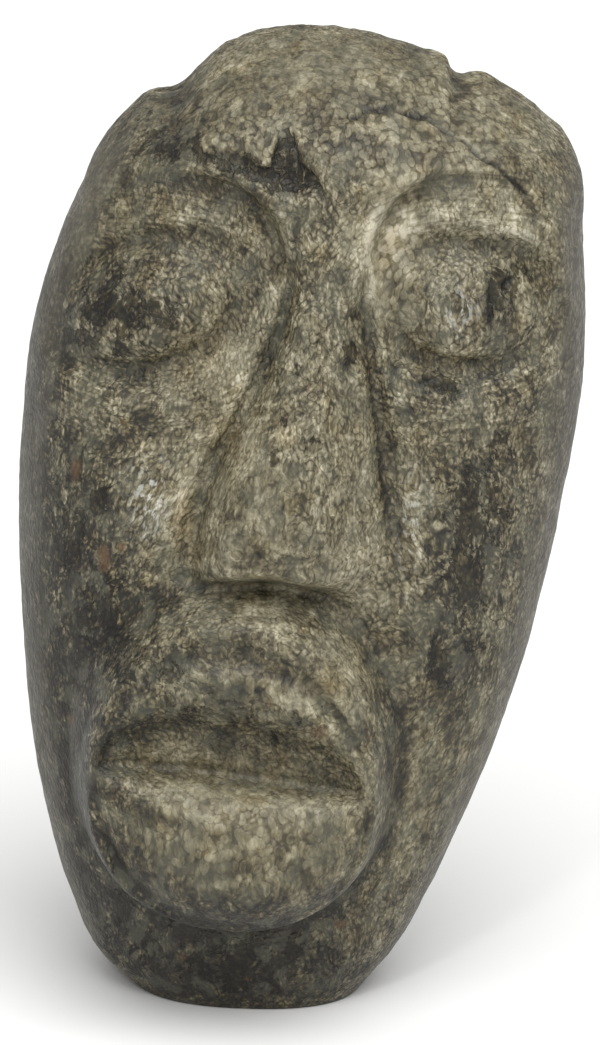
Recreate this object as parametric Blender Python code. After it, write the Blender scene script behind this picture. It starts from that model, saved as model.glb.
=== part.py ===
"""Bone face carving: a heavy long face cut from dense old bone, standing upright on its flat-cut chin.

The face looks along -Y and +Z is up. The origin is under the middle of the whole carving, on the
surface that it stands on. Places and sizes are in millimetres, and MM turns them into metres.
"""
import math

import bmesh
import bpy
import numpy as np

MM = 0.001
HEIGHT = 110.0

# Rows from base to crown and columns round the bone, and the faces kept once it is simplified
ROWS = 256
COLUMNS = 288
FACES_KEPT = 9000
FLAT_BASE_WITHIN = 0.05

# From the middle of the bone's widest plane to the middle of the whole carving
CENTRE = (0.3, 3.76)

BONE_COLOUR = (0.25, 0.235, 0.185, 1.0)
BONE_ROUGHNESS = 0.42

# Outline of the bone seen from the front: (height, place of its edge), with + to the viewer's right
LEFT_EDGE = [(0, -17.4), (3.5, -21.2), (11, -24.9), (24, -28.6), (44, -31.0), (64, -31.4),
             (78, -30.0), (89, -26.6), (96, -23.4), (101, -20.6)]
RIGHT_EDGE = [(0, 8.8), (5, 12.5), (18, 18.6), (36, 24.8), (58, 29.2), (73, 30.9), (89, 30.1),
              (96, 29.4), (101, 26.6)]

# Depth of the bone in front of and behind its widest plane: (height, depth)
FRONT_DEPTH = [(0, 11.2), (4, 13.4), (14, 15.6), (28, 17.0), (45, 17.6), (80, 17.2), (92, 17.0), (101, 15.8)]
BACK_DEPTH = [(0, 11.0), (4, 13.0), (12, 15.6), (25, 17.8), (45, 19.4), (65, 19.6), (85, 18.0), (101, 15.2)]
FRONT_SQUARENESS = 2.35
BACK_SQUARENESS = 2.7

# The broken crown: (place across, height of its ridge), and how it falls away from the ridge
RIDGE_HEIGHT = [(-25, 95.0), (-20, 100.4), (-15, 103.9), (-9, 108.3), (-2, 109.9), (6, 109.4),
                (14, 107.0), (20, 104.7), (25, 101.6), (29.4, 97.2), (32, 93.5)]
RIDGE_PLACE = 2.0
RIDGE_ROUNDING = 4.0
CROWN_SLOPE = 0.42
CROWN_CURVE = 0.0195
CROWN_MIDDLE = 3.1

# How the rows of the mesh are shared out, from the middle of the base to the middle of the crown
BASE_SHARE = 1 / 64
WALL_SHARE = 52 / 64
EDGE_SHARE = 4 / 64
# Columns are closer together on the face than on the back
FACE_CROWDING = 0.45

# Each eye: the side it is on, its socket and its ball. Reach is inwards, outwards, up and down.
EYES = [
    {"side": -1, "socket": (-14.2, 84.0), "reach": (13.0, 14.8, 13.2, 12.0),
     "ball": (-17.4, 81.7), "half_size": (10.6, 6.6), "droop": 21},
    {"side": 1, "socket": (17.4, 84.4), "reach": (11.9, 11.2, 14.0, 12.5),
     "ball": (17.2, 83.1), "half_size": (9.2, 6.8), "droop": 9},
]
SOCKET_DEPTH = 1.7
SOCKET_INNER_DEPTH = 1.5
# From the middle of the eye outwards: (share of the ball's radius, height of the surface)
EYE_ABOVE = [(0, 1.8), (0.45, 1.35), (0.75, 0.2), (0.95, -0.7), (1.1, -0.1), (1.3, 0.95), (1.5, 1.0),
             (1.8, 0.35), (2.1, 0)]
EYE_BELOW = [(0, 1.8), (0.5, 1.5), (0.78, 0.5), (0.98, -0.9), (1.12, -1.0), (1.3, -0.2), (1.55, 0.5),
             (1.8, 0.4), (2.05, 0), (2.3, 0)]
EYE_INWARD = [(0, 1.8), (0.5, 1.4), (0.78, 0.7), (1.0, 0.0), (1.15, 0.0), (1.3, 0.3), (1.5, 0)]
EYE_OUTWARD = [(0, 1.8), (0.5, 1.3), (0.78, 0.5), (1.0, -0.5), (1.12, -0.5), (1.35, 0.2), (1.6, 0)]

# The nose, a flat-topped wedge: (height, place of its edge) and (height, how far its front stands forward)
NOSE_LEFT = [(48, -11.9), (56, -11.3), (64, -9.3), (70.5, -6.3), (77.5, -3.4), (83, -1.9), (92, -1.2),
             (99, -2.0)]
NOSE_RIGHT = [(44, 11.4), (50, 10.8), (57, 9.9), (64.5, 8.9), (77, 6.9), (83, 6.1), (92, 5.7), (99, 6.6)]
NOSE_FORWARD = [(46, 6.2), (52.5, 6.5), (58, 7.0), (64, 6.6), (70, 5.4), (77, 3.6), (83, 2.1), (92, 0.6),
                (99, 0)]
NOSE_FOOT = 51.7
NOSE_FACET = 0.55
NOSE_LEAN = 0.14
NOSE_VALLEY = 0.8

# The muzzle, a drum that carries the mouth
MUZZLE_MIDDLE = (-5.8, 29.4)
MUZZLE_REACH = (18.3, 17.2, 22.2, 17.8)
MUZZLE_FRONT = 24.4
MOUTH_MIDDLE = (-6.4, 30.9)
MOUTH_HALF_WIDTH = 15.0
MOUTH_TILT = -0.09
UPPER_LIP_RISE = 13.6
LOWER_LIP_DROP = 17.3
# From the slit outwards: (share of the lip's height, height of the surface on the drum)
UPPER_LIP = [(-0.3, -3.7), (0, -3.7), (0.1, -3.3), (0.4, -2.1), (0.6, -0.2), (0.72, 0.5), (0.86, 0.5),
             (0.98, -0.25), (1.06, -0.2), (1.18, 0.6), (1.36, 0.4), (1.5, 0)]
LOWER_LIP = [(0, -3.7), (0.03, -2.3), (0.08, 0), (0.14, 1.1), (0.3, 2.2), (0.48, 2.8), (0.66, 2.6),
             (0.82, 1.4), (0.94, -0.4), (1.04, -0.6), (1.15, 0)]

# Full cheeks: (place across, height), half-width, half-height and how far they stand forward
CHEEKS = [((-20.5, 59.0), 8.0, 14.0, 1.5), ((17.5, 59.0), 8.0, 14.0, 1.3)]

# The chip lost above the left eye: the edge it broke back to, its lower edge, and its depth
CHIP_EDGE = [(-19, 99.6), (-16.3, 99.3), (-14.2, 98.6), (-10.0, 98.8), (-8.2, 98.8), (-6.7, 98.3),
             (-5.6, 97.6), (-4.4, 97.8), (-3.9, 99.7), (-3.4, 101.6), (-1.7, 101.6), (-1.5, 99.7),
             (-1.1, 98.1), (0.2, 97.3), (1.0, 96.2), (1.6, 95.2)]
CHIP_FOOT = [(-19, 97.2), (-10, 97.1), (-7.8, 96.0), (-4.5, 95.3), (-1.8, 94.9), (0.6, 95.2)]
CHIP_DEPTH = 1.2


def through(points, at):
    """The value at each place on a smooth curve through (place, value) points."""
    place, value = np.array(points, float).T
    slope = np.gradient(value, place)
    at = np.clip(at, place[0], place[-1])
    i = np.clip(np.searchsorted(place, at) - 1, 0, len(place) - 2)
    gap = place[i + 1] - place[i]
    t = (at - place[i]) / gap
    start = (1 + 2 * t) * (1 - t) ** 2 * value[i] + t * (1 - t) ** 2 * gap * slope[i]
    end = t * t * (3 - 2 * t) * value[i + 1] + t * t * (t - 1) * gap * slope[i + 1]
    return start + end


def rise(value, start, end):
    """0 before start and 1 after end, smooth between them."""
    t = np.clip((value - start) / (end - start), 0, 1)
    return t * t * (3 - 2 * t)


def hump(distance, half_width):
    """1 in the middle, fading to 0 over a few half-widths."""
    return np.exp(-(distance / half_width) ** 2)


def oval(across, up, half_width, half_height, squareness=2.0):
    """1 on the edge of an oval, less inside it and more outside."""
    total = np.abs(across / half_width) ** squareness + np.abs(up / half_height) ** squareness
    return total ** (1 / squareness)


def section(z, turn):
    """The bone's outline at a height, turn radians round from the middle of the face."""
    left = through(LEFT_EDGE, z)
    right = through(RIGHT_EDGE, z)
    sine, cosine = np.sin(turn), np.cos(turn)
    power = 2 / np.where(cosine > 0, FRONT_SQUARENESS, BACK_SQUARENESS)
    x = (left + right) / 2 + (right - left) / 2 * np.sign(sine) * np.abs(sine) ** power
    depth = np.where(cosine > 0, -through(FRONT_DEPTH, z), through(BACK_DEPTH, z))
    return x, depth * np.abs(cosine) ** power


def crown(x, y):
    """Height of the broken top, with its step on the left shoulder and its notch on the right."""
    away = np.hypot(y - RIDGE_PLACE, RIDGE_ROUNDING) - RIDGE_ROUNDING
    top = through(RIDGE_HEIGHT, x) - CROWN_SLOPE * away - CROWN_CURVE * away ** 2
    step = 0.5 * hump(x + 18.2, 1.7) - 1.1 * hump(x + 14.6, 2.2)
    notch = 0.35 * hump(x - 13.4, 1.5) - 1.25 * rise(x, 14.2, 15.0) * (1 - rise(x, 15.2, 18.6))
    return top + (step + notch) * hump(away, 5.5)


def blank(share, turn):
    """The uncarved bone: share runs from 0 at the middle of the base to 1 at the middle of the crown."""
    facing = np.clip(np.cos(turn), 0, 1) ** 2
    edge_drop = 2.2 + 1.8 * facing
    edge_reach = 0.10 + 0.12 * facing
    top = np.full_like(turn, HEIGHT * 0.9)
    for _ in range(6):
        top = crown(*section(top, turn)) - edge_drop
    top_x, top_y = section(top, turn)

    wall_end = BASE_SHARE + WALL_SHARE
    edge_end = wall_end + EDGE_SHARE
    up_wall = np.clip((share - BASE_SHARE) / WALL_SHARE, 0, 1)
    wall_x, wall_y = section(top * up_wall, turn)
    base_middle = (LEFT_EDGE[0][1] + RIGHT_EDGE[0][1]) / 2
    out = np.clip(share / BASE_SHARE, 0, 1)
    round_edge = np.clip((share - wall_end) / EDGE_SHARE, 0, 1) * math.pi / 2
    inward = np.clip((share - edge_end) / (1 - edge_end), 0, 1)
    left = (1 - edge_reach * (1 - np.cos(round_edge))) * (1 - inward)
    crown_x, crown_y = CROWN_MIDDLE + (top_x - CROWN_MIDDLE) * left, top_y * left
    crown_z = crown(crown_x, crown_y) - edge_drop * (1 - np.sin(round_edge))

    on_crown = share > wall_end
    x = np.where(on_crown, crown_x, base_middle + (wall_x - base_middle) * out)
    y = np.where(on_crown, crown_y, wall_y * out)
    return x, y, np.where(on_crown, crown_z, top * up_wall)


def eye_socket(x, z, eye):
    """A hollow under an arched brow, sharp above and beside the nose, soft below and outwards."""
    inward, outward, up, down = eye["reach"]
    across = eye["side"] * (x - eye["socket"][0])
    above = z - eye["socket"][1]
    edge = oval(across, above, np.where(across > 0, outward, inward), np.where(above > 0, up, down), 2.4)
    upper = rise(above / up, -0.45, 0.35)
    outer = rise(across / outward, 0.25, 0.95)
    width = 0.13 + 0.5 * (1 - upper) + 0.25 * outer
    hollow = 1 - rise(edge, 1 - width, 1.25 - 0.25 * upper)
    depth = SOCKET_DEPTH + SOCKET_INNER_DEPTH * rise(-across / inward, -0.3, 0.8)
    return -hollow * depth * (0.45 + 0.55 * upper) * (1 - 0.45 * outer)


def eye_ball(x, z, eye):
    """A blank bulging eye under a heavy lid, with a fold below it."""
    tilt = math.radians(eye["droop"])
    across = eye["side"] * (x - eye["ball"][0])
    above = z - eye["ball"][1]
    out = (across * math.cos(tilt) - above * math.sin(tilt)) / eye["half_size"][0]
    up = (across * math.sin(tilt) + above * math.cos(tilt)) / eye["half_size"][1]
    radius = np.hypot(out, up)
    upright = up ** 2 / np.maximum(radius ** 2, 1e-9)
    over = np.where(up > 0, through(EYE_ABOVE, radius), through(EYE_BELOW, radius))
    beside = np.where(out > 0, through(EYE_OUTWARD, radius), through(EYE_INWARD, radius))
    return over * upright + beside * (1 - upright)


def nose(x, z):
    """A long wedge, cut off square below, with a valley down each side."""
    left = through(NOSE_LEFT, z)
    right = through(NOSE_RIGHT, z)
    across = (2 * x - left - right) / (right - left)
    leaning = across + NOSE_LEAN * (1 - across ** 2)
    facet = 1 - NOSE_FACET * np.clip((leaning - 0.3) / 0.7, 0, 1)
    profile = np.clip(1 - np.abs(leaning) ** 3.0, 0, 1) * facet
    flank = rise(x, 3.5, 9)
    foot = NOSE_FOOT + 1.1 * hump(x + 3.5, 5) - 3.5 * flank
    height = through(NOSE_FORWARD, z) * profile * rise(z, foot - 1.3 - 1.2 * flank, foot + 2.1 + 8.5 * flank)
    valley = hump(np.abs(across) - 1.07, 0.15) * rise(z, 50, 57) * (1 - rise(z, 80, 95))
    return height - NOSE_VALLEY * valley


def muzzle(x, z, depth):
    """The depth with the drum of the mouth raised on it, and its two lips."""
    left, right, up, down = MUZZLE_REACH
    across = x - MUZZLE_MIDDLE[0]
    above = z - MUZZLE_MIDDLE[1]
    edge = oval(across, above, np.where(across < 0, left, right), np.where(above > 0, up, down), 2.15)
    upper = rise(above / up, -0.15, 0.45)
    mound = 1 - rise(edge, 0.87 - 0.05 * upper, 1.04 + 0.05 * upper)
    bend = 1.6 * (across / right) ** 2 + 0.9 * rise(above, 10, up) + 0.8 * rise(-above, 8, down)
    front = MUZZLE_FRONT - bend
    depth = depth + mound * np.clip(front - depth, 0, None)

    along = (x - MOUTH_MIDDLE[0]) / MOUTH_HALF_WIDTH
    lens = np.clip(1 - along ** 2, 0, 1)
    slit = MOUTH_MIDDLE[1] + MOUTH_TILT * (x - MOUTH_MIDDLE[0])
    over = (z - slit) / (0.8 + UPPER_LIP_RISE * lens ** 0.6)
    under = (slit - z) / (0.8 + LOWER_LIP_DROP * lens ** 0.5)
    lips = np.where(z > slit, through(UPPER_LIP, over), through(LOWER_LIP, under))
    return depth + lips * lens ** 0.6 * rise(1 - np.abs(along), 0, 0.06)


def chip(x, z):
    """The flake lost above the left eye, with its sharp upper edge."""
    below = np.interp(x, *np.array(CHIP_EDGE).T) - z
    above = z - np.interp(x, *np.array(CHIP_FOOT).T)
    lost = rise(below, -0.15, 0.45) * rise(above, -1.4, 1.4)
    return -CHIP_DEPTH * lost * rise(x, -19, -16) * (1 - rise(x, 0.9, 1.8))


def carved_depth(x, z, depth):
    """How far forward the carved face stands where the bone's own surface stood at depth."""
    carved = depth + chip(x, z)
    for (middle_x, middle_z), half_width, half_height, forward in CHEEKS:
        carved = carved + forward * hump(x - middle_x, half_width) * hump(z - middle_z, half_height)
    for eye in EYES:
        carved = carved + eye_socket(x, z, eye) + eye_ball(x, z, eye)
    carved = carved + nose(x, z)
    return muzzle(x, z, carved)


def carve(share, angle):
    """The carving's surface, from a ball's rows (share, 0 to 1) and columns (angle, 0 at the face)."""
    turn = angle - FACE_CROWDING * np.sin(angle)
    x, y, z = blank(share, turn)
    left = through(LEFT_EDGE, z)
    right = through(RIGHT_EDGE, z)
    to_side = np.abs(2 * x - left - right) / (right - left)
    wall_end = BASE_SHARE + WALL_SHARE
    below_crown = 1 - rise(share, wall_end, wall_end + EDGE_SHARE)
    amount = (1 - rise(to_side, 0.9, 1.0)) * rise(z, 0, 3) * below_crown
    amount = np.where((y < 0) & (share > BASE_SHARE), amount, 0)
    return x, y - (carved_depth(x, z, -y) + y) * amount, z


def remove_everything():
    for item in list(bpy.data.objects):
        bpy.data.objects.remove(item, do_unlink=True)


def bone_material():
    material = bpy.data.materials.new("bone")
    material.use_nodes = True
    shader = material.node_tree.nodes["Principled BSDF"]
    shader.inputs["Base Color"].default_value = BONE_COLOUR
    shader.inputs["Roughness"].default_value = BONE_ROUGHNESS
    shader.inputs["Metallic"].default_value = 0.0
    return material


def carved_ball():
    """A ball whose rows and columns are moved onto the carving's surface."""
    ball = bmesh.new()
    bmesh.ops.create_uvsphere(ball, u_segments=COLUMNS, v_segments=ROWS, radius=1.0)
    points = np.array([corner.co for corner in ball.verts])
    share = np.rint((1 - np.arccos(np.clip(points[:, 2], -1, 1)) / math.pi) * ROWS) / ROWS
    angle = np.arctan2(points[:, 0], -points[:, 1])
    x, y, z = carve(share, angle)
    for corner, place in zip(ball.verts, zip(x + CENTRE[0], y + CENTRE[1], z)):
        corner.co = [length * MM for length in place]
    bmesh.ops.triangulate(ball, faces=ball.faces[:])
    mesh = bpy.data.meshes.new("face_carving")
    ball.to_mesh(mesh)
    ball.free()
    return mesh


def simplify(carving):
    """Fewer faces where the surface is plain, with the cut base kept flat."""
    fewer = carving.modifiers.new("fewer_faces", "DECIMATE")
    fewer.ratio = FACES_KEPT / len(carving.data.polygons)
    depsgraph = bpy.context.evaluated_depsgraph_get()
    simple = bpy.data.meshes.new_from_object(carving.evaluated_get(depsgraph))
    carving.modifiers.clear()
    carving.data = simple
    for corner in simple.vertices:
        if corner.co.z < FLAT_BASE_WITHIN * MM:
            corner.co.z = 0.0


def face_carving(collection):
    carving = bpy.data.objects.new("face_carving", carved_ball())
    collection.objects.link(carving)
    simplify(carving)
    carving.data.shade_smooth()
    carving.data.set_sharp_from_angle(angle=math.radians(50))
    carving.data.materials.append(bone_material())


def build():
    remove_everything()
    collection = bpy.data.collections.new("bone_face_carving")
    bpy.context.scene.collection.children.link(collection)
    face_carving(collection)


build()
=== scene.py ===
"""Looks of the bone face carving: its finely carved surface, weathered bone, studio light and camera.

Places and sizes are in millimetres in the carving's own form, and MM turns them into metres.
"""
import math

import bmesh
import bpy
import numpy as np
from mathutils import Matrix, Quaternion, Vector, noise


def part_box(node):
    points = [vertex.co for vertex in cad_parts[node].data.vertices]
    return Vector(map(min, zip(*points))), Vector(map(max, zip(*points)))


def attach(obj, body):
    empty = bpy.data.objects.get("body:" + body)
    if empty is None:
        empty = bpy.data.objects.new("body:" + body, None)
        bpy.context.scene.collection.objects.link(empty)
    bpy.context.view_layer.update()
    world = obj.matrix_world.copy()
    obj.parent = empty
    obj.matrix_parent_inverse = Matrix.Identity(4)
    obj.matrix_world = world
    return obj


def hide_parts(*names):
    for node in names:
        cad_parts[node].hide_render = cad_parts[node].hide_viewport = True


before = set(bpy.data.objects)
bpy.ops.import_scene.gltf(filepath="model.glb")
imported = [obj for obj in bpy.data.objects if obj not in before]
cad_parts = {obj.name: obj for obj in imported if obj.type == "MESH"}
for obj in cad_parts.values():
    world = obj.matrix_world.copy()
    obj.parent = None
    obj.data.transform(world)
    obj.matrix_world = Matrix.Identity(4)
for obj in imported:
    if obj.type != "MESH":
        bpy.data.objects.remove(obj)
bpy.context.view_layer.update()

MM = 0.001
NODE = "face_carving"
HEIGHT = 110.0

# Rows from base to crown and columns round the bone, for 197,400 triangles
ROWS = 330
COLUMNS = 300

# From the middle of the bone's widest plane to the middle of the whole carving
CENTRE = (0.3, 3.76)

# Outline of the bone seen from the front: (height, place of its edge), with + to the viewer's right
LEFT_EDGE = [(0, -17.4), (3.5, -21.2), (11, -24.9), (24, -28.6), (44, -31.0), (64, -31.4),
             (78, -30.0), (89, -26.6), (96, -23.4), (101, -20.6)]
RIGHT_EDGE = [(0, 8.8), (5, 12.5), (18, 18.6), (36, 24.8), (58, 29.2), (73, 30.9), (89, 30.1),
              (96, 29.4), (101, 26.6)]

# Depth of the bone in front of and behind its widest plane: (height, depth)
FRONT_DEPTH = [(0, 11.2), (4, 13.4), (14, 15.6), (28, 17.0), (45, 17.6), (80, 17.2), (92, 17.0), (101, 15.8)]
BACK_DEPTH = [(0, 11.0), (4, 13.0), (12, 15.6), (25, 17.8), (45, 19.4), (65, 19.6), (85, 18.0), (101, 15.2)]
FRONT_SQUARENESS = 2.35
BACK_SQUARENESS = 2.7

# The broken crown: (place across, height of its ridge), and how it falls away from the ridge
RIDGE_HEIGHT = [(-25, 95.0), (-20, 100.4), (-15, 103.9), (-9, 108.3), (-2, 109.9), (6, 109.4),
                (14, 107.0), (20, 104.7), (25, 101.6), (29.4, 97.2), (32, 93.5)]
RIDGE_PLACE = 2.0
RIDGE_ROUNDING = 4.0
CROWN_SLOPE = 0.42
CROWN_CURVE = 0.0195
CROWN_MIDDLE = 3.1

# How the rows of the mesh are shared out, from the middle of the base to the middle of the crown
BASE_SHARE = 1 / 64
WALL_SHARE = 52 / 64
EDGE_SHARE = 4 / 64
# Columns are closer together on the face than on the back
FACE_CROWDING = 0.45

# Each eye: the side it is on, its socket and its ball. Reach is inwards, outwards, up and down.
EYES = [
    {"side": -1, "socket": (-14.2, 84.0), "reach": (13.0, 14.8, 13.2, 12.0),
     "ball": (-17.4, 81.7), "half_size": (10.6, 6.6), "droop": 21},
    {"side": 1, "socket": (17.4, 84.4), "reach": (11.9, 11.2, 14.0, 12.5),
     "ball": (17.2, 83.1), "half_size": (9.2, 6.8), "droop": 9},
]
SOCKET_DEPTH = 1.7
SOCKET_INNER_DEPTH = 1.5
# From the middle of the eye outwards: (share of the ball's radius, height of the surface)
EYE_ABOVE = [(0, 1.8), (0.45, 1.35), (0.75, 0.2), (0.95, -0.7), (1.1, -0.1), (1.3, 0.95), (1.5, 1.0),
             (1.8, 0.35), (2.1, 0)]
EYE_BELOW = [(0, 1.8), (0.5, 1.5), (0.78, 0.5), (0.98, -0.9), (1.12, -1.0), (1.3, -0.2), (1.55, 0.5),
             (1.8, 0.4), (2.05, 0), (2.3, 0)]
EYE_INWARD = [(0, 1.8), (0.5, 1.4), (0.78, 0.7), (1.0, 0.0), (1.15, 0.0), (1.3, 0.3), (1.5, 0)]
EYE_OUTWARD = [(0, 1.8), (0.5, 1.3), (0.78, 0.5), (1.0, -0.5), (1.12, -0.5), (1.35, 0.2), (1.6, 0)]

# The nose, a flat-topped wedge: (height, place of its edge) and (height, how far its front stands forward)
NOSE_LEFT = [(48, -11.9), (56, -11.3), (64, -9.3), (70.5, -6.3), (77.5, -3.4), (83, -1.9), (92, -1.2),
             (99, -2.0)]
NOSE_RIGHT = [(44, 11.4), (50, 10.8), (57, 9.9), (64.5, 8.9), (77, 6.9), (83, 6.1), (92, 5.7), (99, 6.6)]
NOSE_FORWARD = [(46, 6.2), (52.5, 6.5), (58, 7.0), (64, 6.6), (70, 5.4), (77, 3.6), (83, 2.1), (92, 0.6),
                (99, 0)]
NOSE_FOOT = 51.7
NOSE_FACET = 0.55
NOSE_LEAN = 0.14
NOSE_VALLEY = 0.8

# The muzzle, a drum that carries the mouth
MUZZLE_MIDDLE = (-5.8, 29.4)
MUZZLE_REACH = (18.3, 17.2, 22.2, 17.8)
MUZZLE_SQUARENESS = 2.15
MUZZLE_FRONT = 24.4
MOUTH_MIDDLE = (-6.4, 30.9)
MOUTH_HALF_WIDTH = 15.0
MOUTH_TILT = -0.09
UPPER_LIP_RISE = 13.6
LOWER_LIP_DROP = 17.3
# From the slit outwards: (share of the lip's height, height of the surface on the drum)
UPPER_LIP = [(-0.3, -3.7), (0, -3.7), (0.1, -3.3), (0.4, -2.1), (0.6, -0.2), (0.72, 0.5), (0.86, 0.5),
             (0.98, -0.25), (1.06, -0.2), (1.18, 0.6), (1.36, 0.4), (1.5, 0)]
LOWER_LIP = [(0, -3.7), (0.03, -2.3), (0.08, 0), (0.14, 1.1), (0.3, 2.2), (0.48, 2.8), (0.66, 2.6),
             (0.82, 1.4), (0.94, -0.4), (1.04, -0.6), (1.15, 0)]

# Full cheeks: (place across, height), half-width, half-height and how far they stand forward
CHEEKS = [((-20.5, 59.0), 8.0, 14.0, 1.5), ((17.5, 59.0), 8.0, 14.0, 1.3)]

# The chip lost above the left eye: the edge it broke back to, its lower edge, and its depth
CHIP_EDGE = [(-19, 99.6), (-16.3, 99.3), (-14.2, 98.6), (-10.0, 98.8), (-8.2, 98.8), (-6.7, 98.3),
             (-5.6, 97.6), (-4.4, 97.8), (-3.9, 99.7), (-3.4, 101.6), (-1.7, 101.6), (-1.5, 99.7),
             (-1.1, 98.1), (0.2, 97.3), (1.0, 96.2), (1.6, 95.2)]
CHIP_FOOT = [(-19, 97.2), (-10, 97.1), (-7.8, 96.0), (-4.5, 95.3), (-1.8, 94.9), (0.6, 95.2)]
CHIP_DEPTH = 1.2

# Fine damage on the face: (place across, height) of each point along a crack, with its half-width and depth
CRACKS = [
    {"points": [(3.5, 102.6), (6.0, 103.3), (9.5, 103.1), (12.6, 102.3), (14.5, 101.2), (16.5, 99.9),
                (18.9, 98.2), (21.5, 96.4), (23.5, 94.2)], "half_width": 0.13, "depth": 0.4},
    {"points": [(12.4, 74.6), (13.4, 74.7), (14.6, 74.0), (15.8, 74.1), (17.0, 73.4)],
     "half_width": 0.2, "depth": 0.7},
    {"points": [(5.9, 84.0), (6.4, 79.5), (7.4, 73.0), (8.6, 66.0), (9.3, 60.0)],
     "half_width": 0.14, "depth": 0.3},
    {"points": [(-1.6, 92.0), (-1.9, 85.0), (-3.0, 79.0)], "half_width": 0.14, "depth": 0.25},
    {"points": [(-20.4, 34.0), (-19.2, 37.0), (-17.8, 39.6), (-15.6, 41.8)],
     "half_width": 0.16, "depth": 0.25},
]
# Single pits: place, half-width, half-height and depth
PITS = [
    ((19.9, 83.4), 0.42, 1.9, 0.9), ((21.5, 85.0), 0.36, 0.9, 0.7), ((18.2, 76.4), 0.6, 0.5, 0.4),
    ((-5.6, 41.6), 0.4, 0.45, 0.5), ((-3.6, 42.1), 0.4, 0.45, 0.5), ((-10.6, 51.4), 0.5, 0.5, 0.7),
    ((-4.2, 56.8), 0.4, 0.3, 0.4), ((9.8, 76.0), 0.6, 1.2, 0.4), ((11.4, 71.6), 1.0, 0.6, 0.35),
    ((15.0, 72.4), 0.8, 0.35, 0.35), ((5.2, 82.2), 0.5, 0.7, 0.4), ((4.4, 77.0), 0.7, 1.0, 0.4),
]
# How far cracks and pits wander off their line, and over what length
CRACK_WANDER = 0.5
CRACK_WAVE = 1.6
# The weathered surface: height of its waves, their size, how far they are drawn out, and their own shift
WAVES = [(0.10, 3.2, 2.0, 0), (0.07, 1.5, 2.0, 9), (0.05, 0.8, 1.6, 21)]
CROWN_ROUGHNESS = 1.2
# What lies lower than this is the flat base
FLAT_BASE = 0.01

# How far behind the bone's widest plane the marks of the face end, and how dark the back is without them
FACE_END = 0
STAINS_END = 4
CELLS_END = 6
BACK_STAIN = 0.25
BACK_SHADE = 0.3

# Spots on the face, each with its place, half-width, half-height and strength. Left and right are the
# viewer's. The first are dark stains.
STAINS = [
    # right cheek and jaw
    ((19.3, 61.0), 3.4, 5.5, 1.0), ((18.6, 52.0), 2.6, 6.5, 1.0), ((16.4, 43.0), 2.2, 5.0, 0.9),
    ((21.2, 66.1), 2.5, 3.0, 0.7),
    # left cheek and jaw
    ((-21.8, 60.4), 1.6, 2.4, 0.9), ((-24.3, 54.5), 1.8, 4.0, 0.9), ((-21.5, 47.5), 2.2, 5.5, 0.95),
    ((-19.0, 44.0), 3.0, 2.5, 0.8), ((-24.4, 62.9), 1.6, 2.5, 0.6), ((-13.4, 41.8), 2.0, 3.0, 0.85),
    # eyes
    ((-20.0, 81.0), 7.0, 4.2, 0.85), ((-24.6, 77.2), 3.5, 1.6, 0.9), ((21.5, 84.5), 2.0, 4.0, 0.85),
    ((14.4, 73.9), 3.2, 1.4, 0.9),
    # brow
    ((-2.4, 96.0), 3.0, 2.0, 1.0), ((-17.2, 99.7), 5.0, 2.5, 0.6), ((-13.0, 98.9), 4.0, 1.2, 0.8),
    ((-8.0, 98.3), 3.5, 1.1, 0.7),
    # nose
    ((4.7, 77.8), 1.3, 2.4, 0.85), ((-1.6, 80.0), 1.2, 2.5, 0.6), ((-1.9, 71.0), 0.6, 0.7, 1.0),
    ((1.0, 69.3), 1.0, 0.7, 1.0), ((-3.1, 67.5), 0.6, 0.7, 0.9), ((-0.9, 77.0), 0.7, 0.9, 0.8),
    ((-5.8, 60.7), 0.6, 0.6, 0.8),
    # chin and upper lip
    ((-5.8, 6.5), 14.0, 4.5, 0.8), ((-9.1, 14.6), 9.0, 1.6, 0.9), ((-4.6, 38.0), 11.0, 3.0, 0.4),
]
SCAR_STAIN = 0.68
# How far the edges of stains wander, as a share of the stain, and the size and stretch of their waves
STAIN_WANDER = 0.7
STAIN_WAVE = (3.0, 1.5)

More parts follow.
